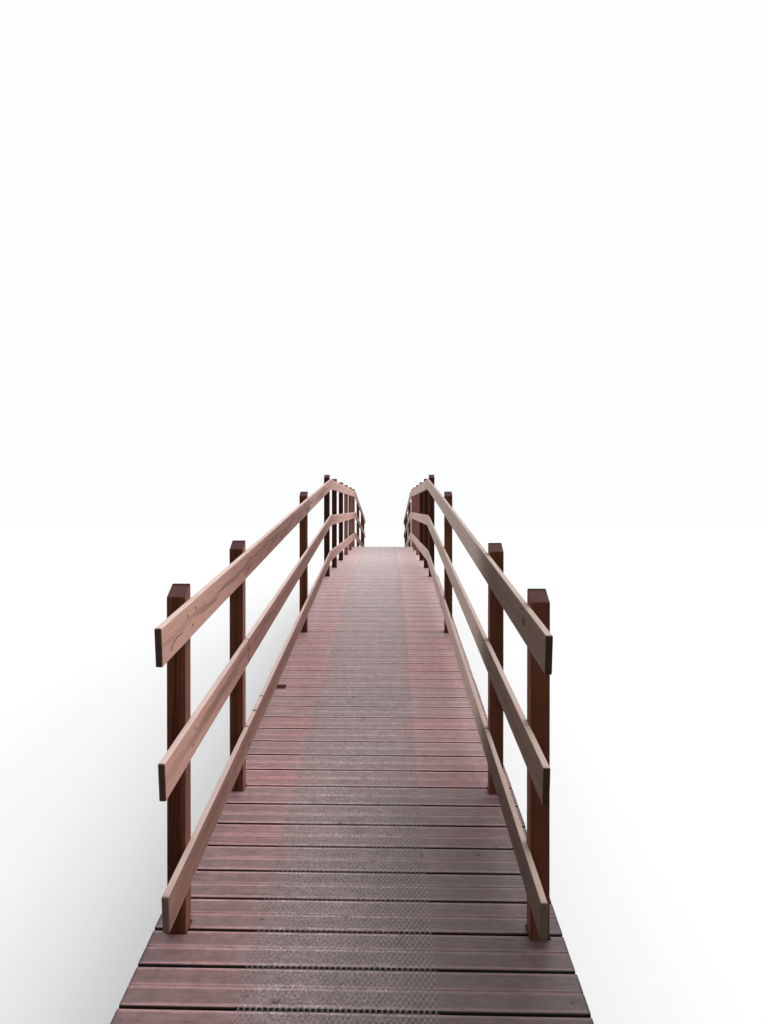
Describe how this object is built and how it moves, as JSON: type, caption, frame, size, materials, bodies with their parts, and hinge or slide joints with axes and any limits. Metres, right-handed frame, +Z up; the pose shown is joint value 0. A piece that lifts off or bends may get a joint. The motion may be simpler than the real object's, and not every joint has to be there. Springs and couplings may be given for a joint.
{
  "type": "wooden footbridge",
  "caption": "Narrow timber footbridge: a level run between two ramps, boards notched round square posts, board rails on both sides, stringers seated on paired bearers.",
  "frame": {"origin": "on the ground or water line under the middle of the bridge", "axes": "+X across the bridge to the right as seen from the near end, +Y along it to the far end, +Z up"},
  "size_m": [1.3, 17.6244, 2.2795],
  "materials": {
    "deck_boards": "weathered",
    "rails": "weathered",
    "posts": "weathered",
    "beams": "weathered",
    "fixings": "galvanized",
    "wire_netting": "weathered"
  },
  "bodies": {
    "root": {"near_ramp_boards": "deck_boards", "level_boards_row": "deck_boards", "far_ramp_boards": "deck_boards", "near_left_top_rail": "rails", "near_left_mid_rail": "rails", "near_left_low_rail": "rails", "near_right_top_rail": "rails", "near_right_mid_rail": "rails", "near_right_low_rail": "rails", "level_left_top_rail": "rails", "level_left_mid_rail": "rails", "level_left_low_rail": "rails", "level_right_top_rail": "rails", "level_right_mid_rail": "rails", "level_right_low_rail": "rails", "far_left_top_rail": "rails", "far_left_mid_rail": "rails", "far_left_low_rail": "rails", "far_right_top_rail": "rails", "far_right_mid_rail": "rails", "far_right_low_rail": "rails", "near_end_posts": "posts", "near_lower_posts": "posts", "near_upper_posts": "posts", "near_brow_posts": "posts", "near_outer_posts": "posts", "near_inner_posts": "posts", "far_inner_posts": "posts", "far_outer_posts": "posts", "far_brow_posts": "posts", "far_upper_posts": "posts", "far_lower_posts": "posts", "far_end_posts": "posts", "near_stub_piles": "posts", "far_stub_piles": "posts", "near_ramp_stringers": "beams", "level_stringers": "beams", "far_ramp_stringers": "beams", "near_ramp_bearers": "beams", "level_bearers": "beams", "far_ramp_bearers": "beams", "near_sill": "beams", "far_sill": "beams"}
  },
  "joints": []
}
